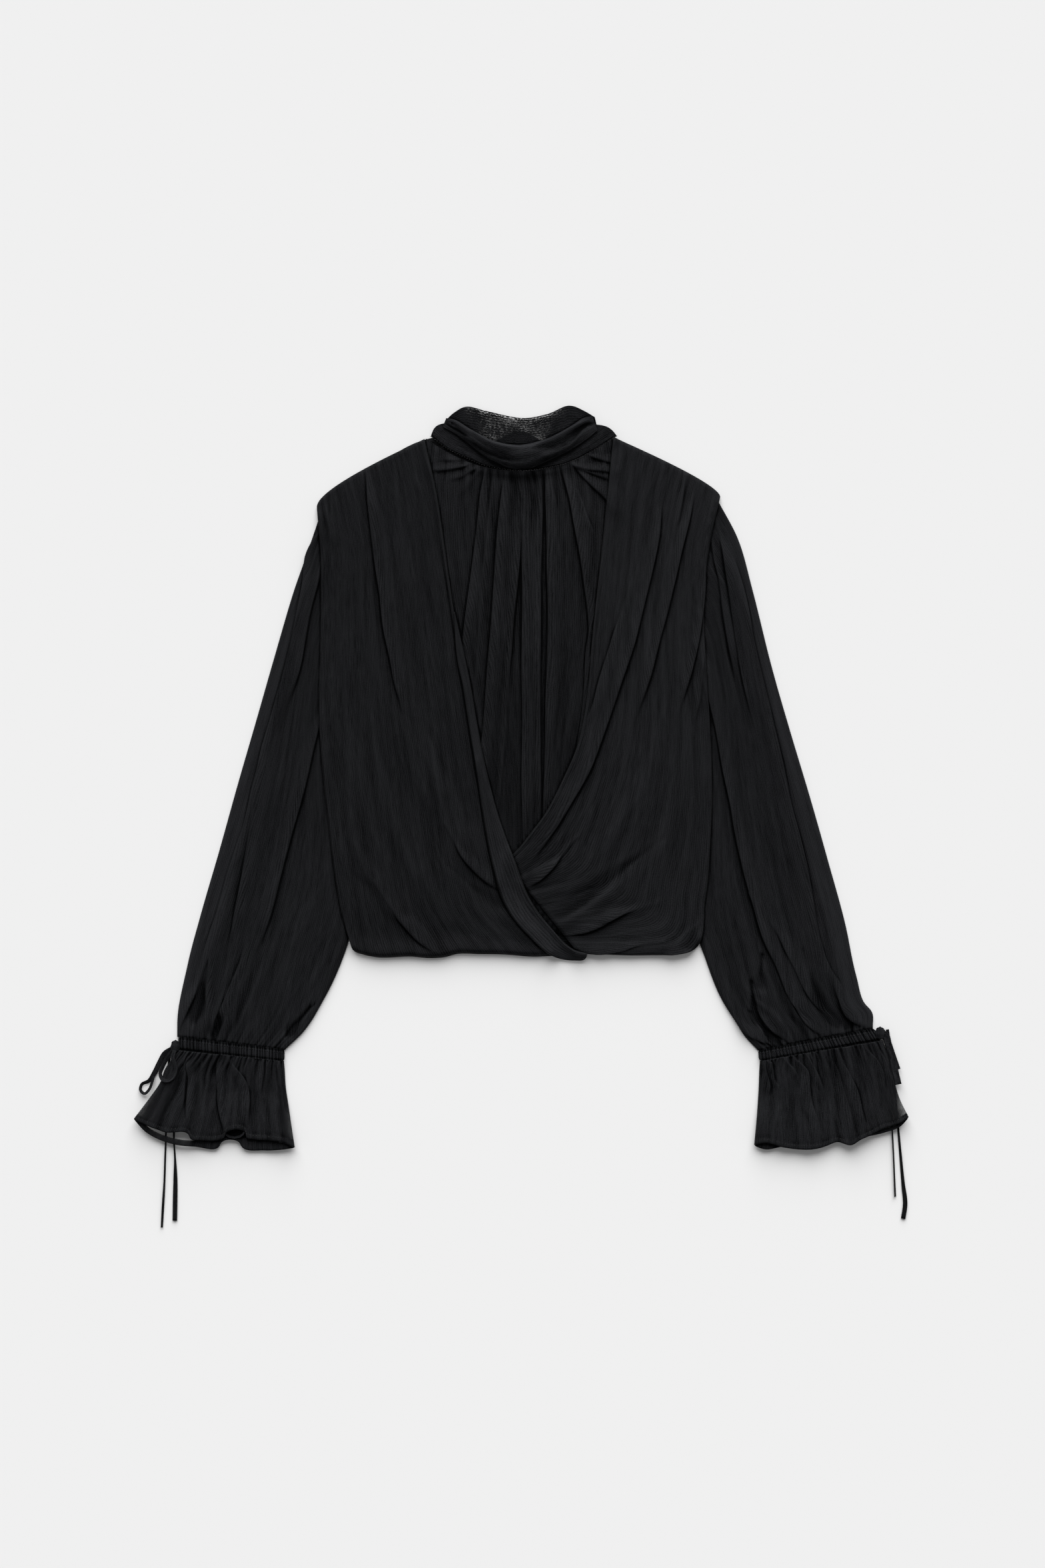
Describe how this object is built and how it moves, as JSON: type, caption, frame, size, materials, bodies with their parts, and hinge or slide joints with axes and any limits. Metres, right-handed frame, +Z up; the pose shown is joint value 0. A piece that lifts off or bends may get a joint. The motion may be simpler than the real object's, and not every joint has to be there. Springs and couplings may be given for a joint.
{
  "type": "high-neck blouse",
  "caption": "Black sheer crinkled blouse laid flat: high cowl collar, crossed draped fronts over a gathered front, bloused hem, full sleeves with drawstring ruffle cuffs.",
  "frame": {"origin": "middle of the laid-out blouse, at the level of the surface that it lies on", "axes": "+X across the sleeves towards the wearer's left, +Y from the hem to the collar, +Z up out of the front"},
  "size_m": [0.7736, 0.8215, 0.0162],
  "materials": {
    "body_cloth": "crinkled sheer chiffon, soft matt sheen",
    "collar_cloth": "crinkled sheer chiffon on the bias",
    "sleeve_cloth": "crinkled sheer chiffon, soft matt sheen",
    "cuff_cloth": "crinkled sheer chiffon, gathered",
    "tie_cloth": "narrow flat tie of the same chiffon"
  },
  "bodies": {
    "root": {"back": "body_cloth", "inner_front": "body_cloth", "front_right": "body_cloth", "front_left": "body_cloth", "wrap_band": "body_cloth", "collar_stand": "collar_cloth", "collar_roll": "collar_cloth", "collar_back": "collar_cloth", "sleeve_right": "sleeve_cloth", "sleeve_left": "sleeve_cloth", "cuff_casing_right": "cuff_cloth", "cuff_casing_left": "cuff_cloth", "cuff_ruffle_right": "cuff_cloth", "cuff_ruffle_left": "cuff_cloth", "knot_right": "tie_cloth", "knot_left": "tie_cloth", "loop_right_a": "tie_cloth", "loop_right_b": "tie_cloth", "loop_left_a": "tie_cloth", "loop_left_b": "tie_cloth", "tie_right_a": "tie_cloth", "tie_right_b": "tie_cloth", "tie_left_a": "tie_cloth", "tie_left_b": "tie_cloth"}
  },
  "joints": []
}
